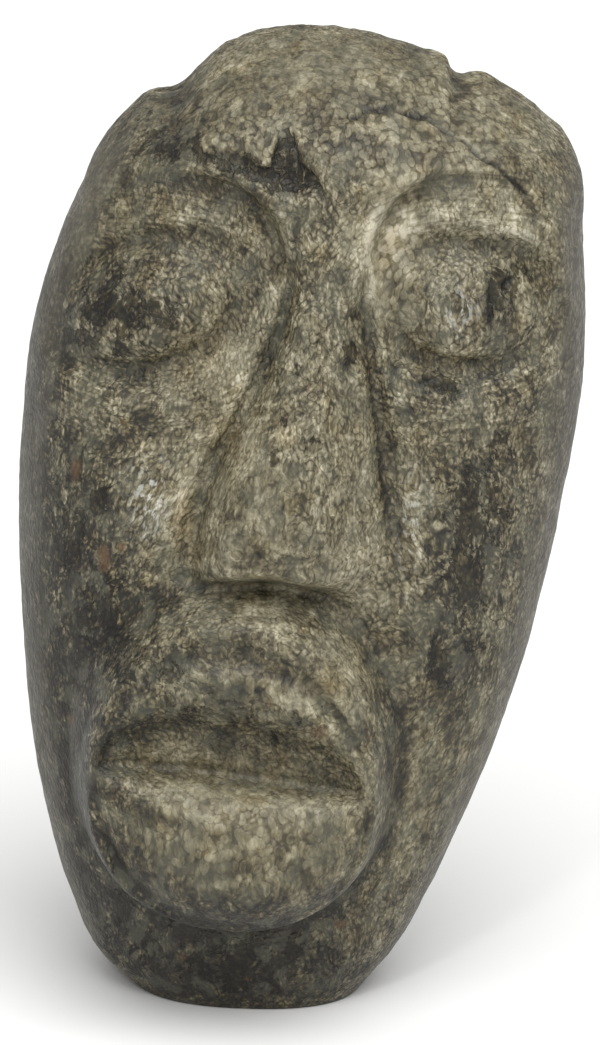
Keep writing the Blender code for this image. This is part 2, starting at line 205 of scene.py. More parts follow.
# Broad differences of tone, darker above 0 and paler below: the bone's own tone mixed with painted shade and
# light
TONE_AND_PAINTED_SHADE = [
    # crown and brow
    ((-14.0, 95.0), 8.0, 3.0, 0.5), ((-19.0, 99.0), 7.0, 5.0, 0.7), ((0.0, 100.0), 10.0, 3.0, 0.6),
    ((9.5, 96.0), 3.0, 3.0, -0.6), ((14.0, 101.0), 8.0, 2.5, -0.5), ((-10.5, 94.5), 4.0, 2.0, -0.5),
    ((-2.0, 107.0), 8.0, 3.0, -0.35), ((6.0, 98.0), 2.0, 2.0, 0.4), ((-5.0, 94.5), 2.5, 2.5, 0.5),
    # left eye
    ((-20.0, 81.0), 8.0, 4.5, 0.9), ((-11.5, 77.5), 3.5, 2.2, -1.1),
    # right eye, with painted light in the groove beside the nose
    ((8.0, 89.5), 2.6, 5.0, -2.0), ((9.6, 88.8), 3.0, 3.0, -0.8), ((15.5, 91.0), 6.0, 1.8, -0.7),
    ((19.0, 93.5), 6.0, 3.0, -0.5), ((22.0, 91.0), 6.5, 1.8, -0.6), ((24.5, 87.5), 3.0, 3.0, -0.9),
    ((6.3, 87.0), 1.8, 4.5, -1.0), ((13.3, 76.5), 2.0, 2.0, -0.5), ((15.3, 76.5), 4.0, 2.0, -0.5),
    ((10.0, 74.0), 2.0, 2.0, 0.6), ((21.0, 73.0), 5.0, 3.5, 0.4),
    # nose, with painted light easing the shading of its valleys
    ((2.5, 88.0), 3.0, 8.0, 0.35), ((1.3, 84.0), 2.2, 3.5, 0.5), ((-3.3, 88.0), 1.5, 6.0, -0.9),
    ((3.5, 90.0), 1.5, 3.5, -0.5), ((-9.0, 74.0), 3.5, 8.0, -0.6), ((-6.8, 73.0), 1.8, 6.0, -1.0),
    ((-9.7, 67.8), 1.6, 5.0, -0.5), ((-12.0, 60.0), 1.8, 5.0, -0.9), ((-13.0, 60.0), 1.6, 4.0, -0.5),
    ((6.2, 60.0), 2.6, 12.0, -0.9), ((-2.5, 56.0), 3.0, 1.6, 0.7),
    # left cheek and jaw
    ((-16.3, 61.0), 1.8, 3.5, -0.6), ((-22.0, 60.0), 4.5, 8.0, 0.45), ((-19.5, 68.0), 3.0, 9.0, 0.6),
    ((-24.0, 45.0), 6.0, 13.0, 1.6), ((-21.0, 22.0), 8.0, 15.0, 1.3), ((-25.5, 20.0), 4.0, 12.0, 0.8),
    # right cheek and jaw
    ((12.3, 59.0), 1.6, 5.0, -0.6), ((20.0, 54.0), 5.0, 14.0, 0.9), ((16.0, 50.0), 2.5, 8.0, 0.5),
    ((21.0, 49.0), 2.5, 5.0, -0.6), ((15.5, 28.0), 7.0, 14.0, 0.4), ((13.0, 27.0), 2.5, 9.0, -0.9),
    ((10.6, 20.0), 2.0, 7.0, -0.4),
    # flanks, painted shade where they turn from the light
    ((-29.5, 60.0), 3.0, 45.0, 1.7), ((30.0, 75.0), 2.5, 25.0, 0.75), ((-28.5, 72.0), 3.0, 8.0, 0.6),
    # muzzle and lips, with painted shade under the lips and painted light under the nose
    ((-2.5, 51.3), 8.0, 1.8, -0.9), ((-13.5, 48.5), 5.0, 3.0, 0.7), ((-1.3, 46.0), 2.5, 2.5, 0.6),
    ((-10.0, 42.5), 3.0, 2.2, 0.8), ((3.5, 42.0), 4.0, 3.5, -0.7), ((-5.0, 39.5), 10.0, 3.5, 0.6),
    ((-12.0, 32.5), 7.0, 2.0, -0.9), ((-16.0, 32.4), 4.0, 1.5, -0.6), ((-7.0, 31.0), 5.0, 1.5, -0.5),
    ((-6.5, 28.0), 10.0, 3.0, -0.2), ((-5.0, 24.0), 12.0, 4.0, 0.2), ((-6.5, 24.0), 4.0, 1.8, -0.6),
    ((-6.0, 18.0), 12.0, 3.5, 0.8),
    # chin and base, painted shade under the muzzle with the bone's own dark tone
    ((-8.0, 15.0), 14.0, 3.5, 0.9), ((-19.0, 11.0), 8.0, 6.0, 0.8), ((9.0, 8.0), 4.0, 6.0, -0.4),
    ((-5.0, 4.0), 20.0, 9.0, 1.6),
]
# Painted shade on the muzzle's rim: how dark it is, where it lies as a share of the muzzle's reach, and how
# far it fades
RIM_SHADE = 0.7
RIM_PLACE = 0.99
RIM_FADE = 0.13
SHADE_RANGE = (-2.6, 2.4)

# Painted grey sheen on the flanks, standing in for their reflection and falling light: where it starts and
# is full (share of the way to the side), and the foot of the crown
FLANK_START = 0.84
FLANK_SHEEN_FULL = 0.95
CROWN_FOOT = 101

# Where the bone's cells are large and pale
COARSE = [
    ((-10.0, 101.0), 8.0, 3.0, 1.0), ((8.0, 102.0), 12.0, 5.0, 1.0), ((0.0, 108.0), 16.0, 3.5, 0.35),
    ((9.5, 88.0), 3.5, 8.0, 0.9), ((-4.0, 62.0), 7.0, 12.0, 0.5), ((-6.0, 25.0), 14.0, 7.0, 0.9),
    ((-3.0, 42.0), 9.0, 3.5, 0.6), ((18.0, 100.0), 9.0, 5.0, 0.35),
]
# Where the surface is rubbed soft
SOFT = [
    ((-5.8, 28.0), 17.0, 17.0, 1.0), ((-5.0, 5.0), 20.0, 10.0, 0.8), ((17.0, 30.0), 8.0, 14.0, 0.5),
    ((0.0, 106.0), 22.0, 7.0, 0.7), ((-4.5, 54.0), 8.0, 5.0, 0.5), ((-20.0, 95.0), 9.0, 10.0, 0.6),
]
# Ochre streaks
OCHRES = [
    ((-11.5, 77.0), 4.0, 4.0, 0.5), ((-12.2, 58.9), 1.3, 4.0, 0.8), ((-8.5, 68.6), 2.0, 4.0, 0.5),
    ((11.7, 57.3), 1.4, 0.8, 0.9), ((3.9, 42.4), 1.4, 1.2, 0.9), ((8.0, 88.0), 2.0, 4.0, 0.3),
]
# Rust-brown spots
RUSTY = [
    ((-21.2, 53.6), 0.75, 1.7, 1.0), ((-19.3, 55.2), 0.5, 0.6, 0.9), ((-24.6, 63.0), 0.8, 1.8, 0.7),
    ((-19.4, 69.0), 0.4, 0.6, 0.7), ((3.0, 37.2), 1.6, 1.2, 0.6), ((-13.5, 58.5), 1.2, 2.5, 0.35),
    ((6.2, 11.5), 1.1, 0.8, 0.6), ((7.2, 18.0), 0.8, 1.3, 0.6), ((-24.6, 34.0), 0.6, 1.0, 0.7),
    ((-11.5, 7.0), 0.9, 0.6, 0.6), ((-4.0, 4.6), 0.8, 0.5, 0.6),
]
# Small polished patches that glint: lower roughness, and pale specks painted in as glints
GLINTS = [((-16.3, 61.0), 1.9, 3.6, 1.0), ((12.3, 59.0), 1.3, 5.0, 0.8), ((16.4, 82.8), 1.8, 2.2, 0.7)]

# Where the grain leans: place, half-width, half-height and how far it runs sideways for its height
LEANS = [
    ((-13.0, 62.0), 9.0, 18.0, 0.30), ((18.0, 30.0), 10.0, 20.0, 0.40), ((-24.0, 26.0), 8.0, 18.0, -0.30),
]
# How far the grain is bent across and upwards, how many bends there are to a millimetre, and how close
# together its places lie upwards
GRAIN_BEND = (1.1, 1.1, 0.9)
BENDS_PER_MM = 0.35
GRAIN_STRETCH = 0.75
# Grain that runs in rings round the muzzle and the eyes: how large the form is, and where on the form the
# rings are strongest and how far they spread, as shares of its own reach
MUZZLE_RINGS = (20.0, 1.02, 0.24)
EYE_RINGS = (8.0, 1.6, 0.9)
RING_STRETCH = 0.3

# Painted shade in creases and fine hollows, and paler ridges: how often their surroundings are evened out,
# and how deep the strongest of them are.
# Then how deep the strongest damage is.
CREASE_PASSES = 22
CREASE_DEPTH = 0.3
EDGE_PASSES = 7
EDGE_DEPTH = 0.07
DAMAGE_DEPTH = 0.4

# Bone cells and the finer grit: how many to a millimetre, and the shares of their size where they are dark
# and where they are pale
CELLS = (1.3, 0.74, 0.46)
GRIT = (2.1, 0.80, 0.30)
# Soft noise of fibres and other marks: how many to a millimetre, how finely and how strongly they split
FIBRES = (2.2, 3.0, 0.65)
MOTTLE = (0.6, 3.0, 0.6)
PATCHES = (0.55, 4.0, 0.70)
BROAD = (0.25, 2.0)
HUES = (0.35, 3.0)
SPARKS = (1.7, 2.0, 0.7)
# How close together fibres, broad tones and sparks lie along the grain, for a long shape
FIBRE_STRETCH = 0.4
BROAD_STRETCH = 0.7
SPARK_STRETCH = 0.6
# Hair lines between the fibres: how many to a millimetre, and how wide
PALE_LINES = (1.1, 0.07)
DARK_LINES = (0.9, 0.06)

# How much each surface field adds to the tone, and how pale the bone is in all
# shade and crease bring in painted shade and light; edge is painted shade in fine hollows and paler on sharp
# ridges
TONE_WEIGHTS = {"stain": -0.08, "shade": -0.20, "crease": -0.06, "edge": -0.085, "hollow": -0.5}
TONE_LEVEL = -0.375

# Colours, the bone's own from its darkest tone to its palest
BONE_TONES = [(0.0, (0.021, 0.019, 0.014)), (0.28, (0.064, 0.055, 0.032)), (0.5, (0.153, 0.134, 0.081)),
              (0.72, (0.288, 0.262, 0.178)), (1.0, (0.553, 0.518, 0.405))]
DARK_PATCH = (0.27, 0.235, 0.155, 1)
GREEN_GREY = (0.125, 0.125, 0.090, 1)
OCHRE = (0.34, 0.24, 0.10, 1)
# painted grey sheen of the flanks, standing in for their reflection
FLANK_SHEEN_GREY = (0.086, 0.078, 0.060, 1)
RUST = (0.120, 0.066, 0.030, 1)
# pale specks painted in as glints
GLINT_PAINT = (0.62, 0.62, 0.56, 1)

# The bone's finest relief, in metres, and its polish, from dark places to pale ones and where it glints
BUMP_DEPTH = 0.0004
BUMP_STRENGTH = 0.8
ROUGHNESS = (0.54, 0.38)
GLINT_POLISH = 0.16

# The photograph's view: the camera's distance, height angle, roll and framing
IMAGE_HEIGHT = 1045
SENSOR = 36
CAMERA_DISTANCE = 0.52
CAMERA_RISE = 15.0
CAMERA_ROLL = 2.0
FOCAL_PIXELS = 4634.8
FRAMING_DROP = 7.65
AIM = Vector((CENTRE[0] * MM, CENTRE[1] * MM, HEIGHT / 2 * MM))

# Studio lamps: the direction light comes from (degrees to the right of the camera, degrees up), the lamp's
# apparent size in degrees and its strength
LAMPS = [("key", 14, 60, 50, 2.9), ("spark", -15, 38, 5, 0.35)]
SKY = 0.50
FLOOR_COLOUR = (0.86, 0.86, 0.85, 1)
FLOOR_ROUGHNESS = 0.8
FLOOR_SIZE = 4.0


def through(points, at):
    """The value at each place on a smooth curve through (place, value) points."""
    place, value = np.array(points, float).T
    slope = np.gradient(value, place)
    at = np.clip(at, place[0], place[-1])
    i = np.clip(np.searchsorted(place, at) - 1, 0, len(place) - 2)
    gap = place[i + 1] - place[i]
    t = (at - place[i]) / gap
    start = (1 + 2 * t) * (1 - t) ** 2 * value[i] + t * (1 - t) ** 2 * gap * slope[i]
    end = t * t * (3 - 2 * t) * value[i + 1] + t * t * (t - 1) * gap * slope[i + 1]
    return start + end


def rise(value, start, end):
    """0 before start and 1 after end, smooth between them."""
    t = np.clip((value - start) / (end - start), 0, 1)
    return t * t * (3 - 2 * t)


def hump(distance, half_width):
    """1 in the middle, fading to 0 over a few half-widths."""
    return np.exp(-(distance / half_width) ** 2)


def oval(across, up, half_width, half_height, squareness=2.0):
    """1 on the edge of an oval, less inside it and more outside."""
    total = np.abs(across / half_width) ** squareness + np.abs(up / half_height) ** squareness
    return total ** (1 / squareness)


def section(z, turn):
    """The bone's outline at a height, turn radians round from the middle of the face."""
    left = through(LEFT_EDGE, z)
    right = through(RIGHT_EDGE, z)
    sine, cosine = np.sin(turn), np.cos(turn)
    power = 2 / np.where(cosine > 0, FRONT_SQUARENESS, BACK_SQUARENESS)
    x = (left + right) / 2 + (right - left) / 2 * np.sign(sine) * np.abs(sine) ** power
    depth = np.where(cosine > 0, -through(FRONT_DEPTH, z), through(BACK_DEPTH, z))
    return x, depth * np.abs(cosine) ** power


def crown(x, y):
    """Height of the broken top, with its step on the left shoulder and its notch on the right."""
    away = np.hypot(y - RIDGE_PLACE, RIDGE_ROUNDING) - RIDGE_ROUNDING
    top = through(RIDGE_HEIGHT, x) - CROWN_SLOPE * away - CROWN_CURVE * away ** 2
    step = 0.5 * hump(x + 18.2, 1.7) - 1.1 * hump(x + 14.6, 2.2)
    notch = 0.35 * hump(x - 13.4, 1.5) - 1.25 * rise(x, 14.2, 15.0) * (1 - rise(x, 15.2, 18.6))
    return top + (step + notch) * hump(away, 5.5)


def blank(share, turn):
    """The uncarved bone: share runs from 0 at the middle of the base to 1 at the middle of the crown."""
    facing = np.clip(np.cos(turn), 0, 1) ** 2
    edge_drop = 2.2 + 1.8 * facing
    edge_reach = 0.10 + 0.12 * facing
    top = np.full_like(turn, HEIGHT * 0.9)
    for _ in range(6):
        top = crown(*section(top, turn)) - edge_drop
    top_x, top_y = section(top, turn)

    wall_end = BASE_SHARE + WALL_SHARE
    edge_end = wall_end + EDGE_SHARE
    up_wall = np.clip((share - BASE_SHARE) / WALL_SHARE, 0, 1)
    wall_x, wall_y = section(top * up_wall, turn)
    base_middle = (LEFT_EDGE[0][1] + RIGHT_EDGE[0][1]) / 2
    out = np.clip(share / BASE_SHARE, 0, 1)
    round_edge = np.clip((share - wall_end) / EDGE_SHARE, 0, 1) * math.pi / 2
    inward = np.clip((share - edge_end) / (1 - edge_end), 0, 1)
    left = (1 - edge_reach * (1 - np.cos(round_edge))) * (1 - inward)
    crown_x, crown_y = CROWN_MIDDLE + (top_x - CROWN_MIDDLE) * left, top_y * left
    crown_z = crown(crown_x, crown_y) - edge_drop * (1 - np.sin(round_edge))

    on_crown = share > wall_end
    x = np.where(on_crown, crown_x, base_middle + (wall_x - base_middle) * out)
    y = np.where(on_crown, crown_y, wall_y * out)
    return x, y, np.where(on_crown, crown_z, top * up_wall)


def eye_socket(x, z, eye):
    """A hollow under an arched brow, sharp above and beside the nose, soft below and outwards."""
    inward, outward, up, down = eye["reach"]
    across = eye["side"] * (x - eye["socket"][0])
    above = z - eye["socket"][1]
    edge = oval(across, above, np.where(across > 0, outward, inward), np.where(above > 0, up, down), 2.4)
    upper = rise(above / up, -0.45, 0.35)
    outer = rise(across / outward, 0.25, 0.95)
    width = 0.13 + 0.5 * (1 - upper) + 0.25 * outer
    hollow = 1 - rise(edge, 1 - width, 1.25 - 0.25 * upper)
    depth = SOCKET_DEPTH + SOCKET_INNER_DEPTH * rise(-across / inward, -0.3, 0.8)
    return -hollow * depth * (0.45 + 0.55 * upper) * (1 - 0.45 * outer)


def eye_ball(x, z, eye):
    """A blank bulging eye under a heavy lid, with a fold below it."""
    tilt = math.radians(eye["droop"])
    across = eye["side"] * (x - eye["ball"][0])
    above = z - eye["ball"][1]
    out = (across * math.cos(tilt) - above * math.sin(tilt)) / eye["half_size"][0]
    up = (across * math.sin(tilt) + above * math.cos(tilt)) / eye["half_size"][1]
    radius = np.hypot(out, up)
    upright = up ** 2 / np.maximum(radius ** 2, 1e-9)
    over = np.where(up > 0, through(EYE_ABOVE, radius), through(EYE_BELOW, radius))
    beside = np.where(out > 0, through(EYE_OUTWARD, radius), through(EYE_INWARD, radius))
    return over * upright + beside * (1 - upright)


def nose(x, z):
    """A long wedge, cut off square below, with a valley down each side."""
    left = through(NOSE_LEFT, z)
    right = through(NOSE_RIGHT, z)
    across = (2 * x - left - right) / (right - left)
    leaning = across + NOSE_LEAN * (1 - across ** 2)
    facet = 1 - NOSE_FACET * np.clip((leaning - 0.3) / 0.7, 0, 1)
    profile = np.clip(1 - np.abs(leaning) ** 3.0, 0, 1) * facet
    flank = rise(x, 3.5, 9)
    foot = NOSE_FOOT + 1.1 * hump(x + 3.5, 5) - 3.5 * flank
    height = through(NOSE_FORWARD, z) * profile * rise(z, foot - 1.3 - 1.2 * flank, foot + 2.1 + 8.5 * flank)
    valley = hump(np.abs(across) - 1.07, 0.15) * rise(z, 50, 57) * (1 - rise(z, 80, 95))
    return height - NOSE_VALLEY * valley


def from_muzzle(x, z):
    """Places across and above the muzzle's middle, and how near its edge they are (1 on the edge)."""
    left, right, up, down = MUZZLE_REACH
    across = x - MUZZLE_MIDDLE[0]
    above = z - MUZZLE_MIDDLE[1]
    half_width = np.where(across < 0, left, right)
    half_height = np.where(above > 0, up, down)
    return across, above, oval(across, above, half_width, half_height, MUZZLE_SQUARENESS)


def muzzle(x, z, depth):
    """The depth with the drum of the mouth raised on it, and its two lips."""
    right, up, down = MUZZLE_REACH[1:]
    across, above, edge = from_muzzle(x, z)
    upper = rise(above / up, -0.15, 0.45)
    mound = 1 - rise(edge, 0.87 - 0.05 * upper, 1.04 + 0.05 * upper)
    bend = 1.6 * (across / right) ** 2 + 0.9 * rise(above, 10, up) + 0.8 * rise(-above, 8, down)
    front = MUZZLE_FRONT - bend
    depth = depth + mound * np.clip(front - depth, 0, None)

    along = (x - MOUTH_MIDDLE[0]) / MOUTH_HALF_WIDTH
    lens = np.clip(1 - along ** 2, 0, 1)
    slit = MOUTH_MIDDLE[1] + MOUTH_TILT * (x - MOUTH_MIDDLE[0])
    over = (z - slit) / (0.8 + UPPER_LIP_RISE * lens ** 0.6)
    under = (slit - z) / (0.8 + LOWER_LIP_DROP * lens ** 0.5)
    lips = np.where(z > slit, through(UPPER_LIP, over), through(LOWER_LIP, under))
    return depth + lips * lens ** 0.6 * rise(1 - np.abs(along), 0, 0.06)


def chip(x, z):
    """The flake lost above the left eye, with its sharp upper edge."""
    below = np.interp(x, *np.array(CHIP_EDGE).T) - z
    above = z - np.interp(x, *np.array(CHIP_FOOT).T)
    lost = rise(below, -0.15, 0.45) * rise(above, -1.4, 1.4)
    return -CHIP_DEPTH * lost * rise(x, -19, -16) * (1 - rise(x, 0.9, 1.8))


def carved_depth(x, z, depth):
    """How far forward the carved face stands where the bone's own surface stood at depth."""
    carved = depth + chip(x, z)
    for (middle_x, middle_z), half_width, half_height, forward in CHEEKS:
        carved = carved + forward * hump(x - middle_x, half_width) * hump(z - middle_z, half_height)
    for eye in EYES:
        carved = carved + eye_socket(x, z, eye) + eye_ball(x, z, eye)
    carved = carved + nose(x, z)
    return muzzle(x, z, carved)


def to_flank(x, z):
    """How far a place is from the middle of the bone towards its side, 0 to 1."""
    left = through(LEFT_EDGE, z)
    right = through(RIGHT_EDGE, z)
    return np.abs(2 * x - left - right) / (right - left)


def carve(share, angle):
    """The carving's surface, from a ball's rows (share, 0 to 1) and columns (angle, 0 at the face)."""
    turn = angle - FACE_CROWDING * np.sin(angle)
    x, y, z = blank(share, turn)
    wall_end = BASE_SHARE + WALL_SHARE
    below_crown = 1 - rise(share, wall_end, wall_end + EDGE_SHARE)
    amount = (1 - rise(to_flank(x, z), 0.9, 1.0)) * rise(z, 0, 3) * below_crown
    amount = np.where((y < 0) & (share > BASE_SHARE), amount, 0)
    return x, y - (carved_depth(x, z, -y) + y) * amount, z


def spot(x, z, middle, half_width, half_height):
    """1 in the middle of a soft oval spot on the face, fading to 0 round it."""
    return hump(x - middle[0], half_width) * hump(z - middle[1], half_height)


def blotches(x, z, spots):
    """Several soft spots added up at each place."""
    added = np.zeros_like(x)
    for middle, half_width, half_height, strength in spots:
        added = added + strength * spot(x, z, middle, half_width, half_height)
    return added


def muzzle_rim_painted_shade(x, z):
    """Painted shade on the muzzle's rim below the mouth, 0 to 1."""
    above, edge = from_muzzle(x, z)[1:]
    return hump(edge - RIM_PLACE, RIM_FADE) * (1 - rise(above, 4, 12))


def distance_to_line(x, z, points):
    """Distance of each place from a line of straight runs."""
    nearest = np.full_like(x, 1e3)
    for (x0, z0), (x1, z1) in zip(points, points[1:]):
        run = (x1 - x0) ** 2 + (z1 - z0) ** 2
        t = np.clip(((x - x0) * (x1 - x0) + (z - z0) * (z1 - z0)) / run, 0, 1)
        nearest = np.minimum(nearest, np.hypot(x - x0 - t * (x1 - x0), z - z0 - t * (z1 - z0)))
    return nearest


def wobble(places, size, stretch=1.0):
    """Smooth noise about -1 to 1, with waves of a size in millimetres, drawn out along the grain."""
    scaled = places / np.array([size, size, size * stretch])
    return np.array([noise.noise(Vector(place)) for place in scaled])


def damage(x, y, z):
    """How deep the cracks and pits are at each place, in millimetres."""
    places = np.stack([x, y, z], axis=1)
    bent_x = x + CRACK_WANDER * wobble(places, CRACK_WAVE)
    bent_z = z + CRACK_WANDER * wobble(places + 50, CRACK_WAVE)
    depth = np.zeros_like(x)
    for crack in CRACKS:
        away = distance_to_line(bent_x, bent_z, crack["points"])
        depth = np.maximum(depth, crack["depth"] * hump(away, crack["half_width"]))
    for middle, half_width, half_height, pit_depth in PITS:
        depth = np.maximum(depth, pit_depth * spot(bent_x, bent_z, middle, half_width, half_height))
    return depth * (y < FACE_END)


def relief(x, y, z):
    """Uneven weathered surface, rougher on the broken crown and smooth at the cut base."""
    places = np.stack([x, y, z], axis=1)
    waves = sum(height * wobble(places + shift, size, stretch) for height, size, stretch, shift in WAVES)
    return waves * (1 + CROWN_ROUGHNESS * rise(z, 97, 104)) * rise(z, 0, 2)


def stain(x, y, z):
    """Where the bone is stained dark, 0 to 1: spots with broken edges, the scar and, faintly, the back."""
    places = np.stack([x, y, z], axis=1)
    bend_x = wobble(places, *STAIN_WAVE)
    bend_z = wobble(places + 30, *STAIN_WAVE)
    dark = np.clip(-chip(x, z) / CHIP_DEPTH, 0, SCAR_STAIN)
    for middle, half_width, half_height, strength in STAINS:
        reach = STAIN_WANDER * min(half_width, half_height)
        here = spot(x + reach * bend_x, z + reach * bend_z, middle, half_width, half_height)
        dark = np.maximum(dark, strength * here)
    return np.maximum(dark * (y < STAINS_END), BACK_STAIN * rise(y, 0, 8))


def shade(x, y, z):
    """The bone's broad tone mixed with painted shade and light, darker above 0 and paler below, with the
    painted shade on the muzzle's rim.
    """
    on_face = np.clip(blotches(x, z, TONE_AND_PAINTED_SHADE) + RIM_SHADE * muzzle_rim_painted_shade(x, z), *SHADE_RANGE)
    return on_face * (y < STAINS_END) + BACK_SHADE * rise(y, 4, 10)


def painted_flank_sheen(x, y, z):
    """Painted grey sheen that greys and smooths the flanks, and half as strongly the back, standing in for
    the flanks' reflection and falling light, 0 to 1.
    """
    flank = rise(to_flank(x, z), FLANK_START, FLANK_SHEEN_FULL) * rise(CROWN_FOOT - z, 0, 8)
    return np.clip(flank + 0.5 * rise(y, 4, 10), 0, 1)


def grain_flow(x, y, z):
    """Places along the run of the grain: upright, and leaning beside the nose and along the jaws."""
    run = x
    for middle, half_width, half_height, lean in LEANS:
        run = run - lean * (z - middle[1]) * spot(x, z, middle, half_width, half_height)
    return np.stack([run, y, z * GRAIN_STRETCH], axis=1)


def round_places(across, above, edge, size):
    """Places on rings about a middle, drawn together along the rings so that their grain runs round."""
    turn = np.arctan2(above, across)
    reach = RING_STRETCH * size
    return np.stack([reach * np.cos(turn), reach * np.sin(turn), size * edge], axis=1)


def ring_grain(x, y, z):
    """Places for the grain that runs round the muzzle and the eyes, and how strongly it shows, 0 to 1."""
    across, above, edge = from_muzzle(x, z)
    size, strongest, spread = MUZZLE_RINGS
    places = round_places(across, above, edge, size)
    strength = hump(edge - strongest, spread)
    size, strongest, spread = EYE_RINGS
    for eye in EYES:
        across = x - eye["ball"][0]
        above = z - eye["ball"][1]
        edge = np.hypot(across / eye["half_size"][0], above / eye["half_size"][1])
        here = hump(edge - strongest, spread)
        places = np.where((here > strength)[:, None], round_places(across, above, edge, size), places)
        strength = np.maximum(strength, here)
    return places, strength * (y < FACE_END)


def hollowness(form, outward, share, angle, passes):
    """How far a place lies below its surroundings, in millimetres: above 0 in creases, below 0 on edges."""
    row = np.rint(share * ROWS).astype(int)
    column = np.rint(angle / (2 * math.pi) * COLUMNS).astype(int) % COLUMNS
    sheet = np.zeros((ROWS + 1, COLUMNS, 3))
    sheet[row, column] = form
    for end in (0, ROWS):
        sheet[end] = form[row == end][0]
    for _ in range(passes):
        above = np.concatenate([sheet[1:], sheet[-1:]])
        below = np.concatenate([sheet[:1], sheet[:-1]])
        sheet = (sheet + above + below + np.roll(sheet, 1, axis=1) + np.roll(sheet, -1, axis=1)) / 5
    return np.sum((sheet[row, column] - form) * outward, axis=1)


def corner_places(mesh):
    flat = np.zeros(len(mesh.vertices) * 3)
    mesh.vertices.foreach_get("co", flat)
    return flat.reshape(-1, 3)


def corner_normals(mesh):
    flat = np.zeros(len(mesh.vertices) * 3)
    mesh.vertex_normals.foreach_get("vector", flat)
    return flat.reshape(-1, 3)


def place_corners(mesh, places):
    mesh.vertices.foreach_set("co", places.ravel())
    mesh.update()


def within_solid(form):
    """The form moved to the carving's own frame, in metres, and drawn in to the solid's box."""
    places = (form + np.array([CENTRE[0], CENTRE[1], 0.0])) * MM
    low, high = (np.array(corner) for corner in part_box(NODE))
    middle = (places.min(axis=0) + places.max(axis=0)) / 2
    shrink = np.minimum(1, (high - low) / np.ptp(places, axis=0))
    return (low + high) / 2 + (places - middle) * shrink


def ball():
    """A ball's mesh, with the row (share) and the column (angle) of each of its corners."""
    form = bmesh.new()
    bmesh.ops.create_uvsphere(form, u_segments=COLUMNS, v_segments=ROWS, radius=1.0)
    mesh = bpy.data.meshes.new("carved_bone")
    form.to_mesh(mesh)
    form.free()
    x, y, z = corner_places(mesh).T
    share = np.rint((1 - np.arccos(np.clip(z, -1, 1)) / math.pi) * ROWS) / ROWS
    return mesh, share, np.arctan2(x, -y)


def add_fields(mesh, fields):
    """Numbers or places at the mesh's corners, by the names that the material asks for."""
    for name, values in fields.items():
        kind, item = ("FLOAT", "value") if values.ndim == 1 else ("FLOAT_VECTOR", "vector")
        made = mesh.attributes.new(name, kind, "POINT")
        made.data.foreach_set(item, values.astype(np.float32).ravel())


def surface_fields(form, outward, hollow, share, angle):
    """What the bone's colours follow at each corner, by name, painted shade and sheen among them."""
    x, y, z = form.T
    on_face = y < FACE_END
    crease = hollowness(form, outward, share, angle, CREASE_PASSES)
    edge = hollowness(form, outward, share, angle, EDGE_PASSES)
    return {
        "stain": stain(x, y, z),
        # painted shade and light mixed with the bone's own tone
        "shade": shade(x, y, z),
        "painted_flank_sheen": painted_flank_sheen(x, y, z),
        # crease: painted shade in creases, paler on bumps; edge: painted shade in fine hollows, paler on
        # sharp ridges
        "crease": np.clip(crease / CREASE_DEPTH, -0.35, 1),
        "edge": np.clip(edge / EDGE_DEPTH, -1, 1),
        "hollow": np.clip(hollow / DAMAGE_DEPTH, 0, 1),
        "coarse": np.clip(blotches(x, z, COARSE), 0, 1) * (y < CELLS_END),
        "soft": np.clip(blotches(x, z, SOFT), 0, 1) * on_face,
        "ochre": blotches(x, z, OCHRES) * on_face,
        "rust": blotches(x, z, RUSTY) * on_face,
        "glint": blotches(x, z, GLINTS) * on_face,
    }


def carved_bone():
    """The fine carved surface that stands for the solid, with what its colours follow at each corner."""
    mesh, share, angle = ball()
    form = np.stack(carve(share, angle), axis=1)
    place_corners(mesh, form)
    outward = corner_normals(mesh)
    x, y, z = form.T
    hollow = damage(x, y, z)
    lifted = form + outward * (relief(x, y, z) - hollow)[:, None]
    lifted[:, 2] = np.where(z < FLAT_BASE, 0, np.maximum(lifted[:, 2], 0))
    place_corners(mesh, within_solid(lifted))
    rings, in_rings = ring_grain(x, y, z)
    add_fields(mesh, surface_fields(form, outward, hollow, share, angle))
    add_fields(mesh, {"in_rings": in_rings, "rings": rings, "grain": grain_flow(x, y, z)})
    mesh.shade_smooth()
    return mesh


def add_node(tree, kind, inputs=None, **settings):
    """A shader node with its settings and inputs, each input a value or another node's output."""
    made = tree.nodes.new(kind)
    for name, value in settings.items():
        setattr(made, name, value)
    for name, value in (inputs or {}).items():
        if isinstance(value, bpy.types.NodeSocket):
            tree.links.new(value, made.inputs[name])
        else:
            made.inputs[name].default_value = value
    return made


def calc(tree, operation, first, second=0.0):
    return add_node(tree, "ShaderNodeMath", {0: first, 1: second}, operation=operation).outputs[0]


def total(tree, *values):
    """The sum of values, each a number, an output, or an output with its weight."""
    result = 0.0
    for value in values:
        if isinstance(value, tuple):
            inputs = {0: value[0], 1: value[1], 2: result}
            result = add_node(tree, "ShaderNodeMath", inputs, operation="MULTIPLY_ADD").outputs[0]
        else:
            result = calc(tree, "ADD", value, result)
    return result


def between(tree, value, low, high, start=0.0, end=1.0):
    """value eased from low to high, as start to end."""
    inputs = {"Value": value, "From Min": low, "From Max": high, "To Min": start, "To Max": end}
    return add_node(tree, "ShaderNodeMapRange", inputs, interpolation_type="SMOOTHSTEP").outputs["Result"]


def mix_values(tree, amount, first, second):
    inputs = {0: amount, 2: first, 3: second}
    return add_node(tree, "ShaderNodeMix", inputs, data_type="FLOAT").outputs[0]


def mix_colours(tree, amount, first, second, how):
    inputs = {0: amount, 6: first, 7: second}
    return add_node(tree, "ShaderNodeMix", inputs, data_type="RGBA", blend_type=how).outputs[2]


def field(tree, name):
    return add_node(tree, "ShaderNodeAttribute", attribute_name=name).outputs["Fac"]


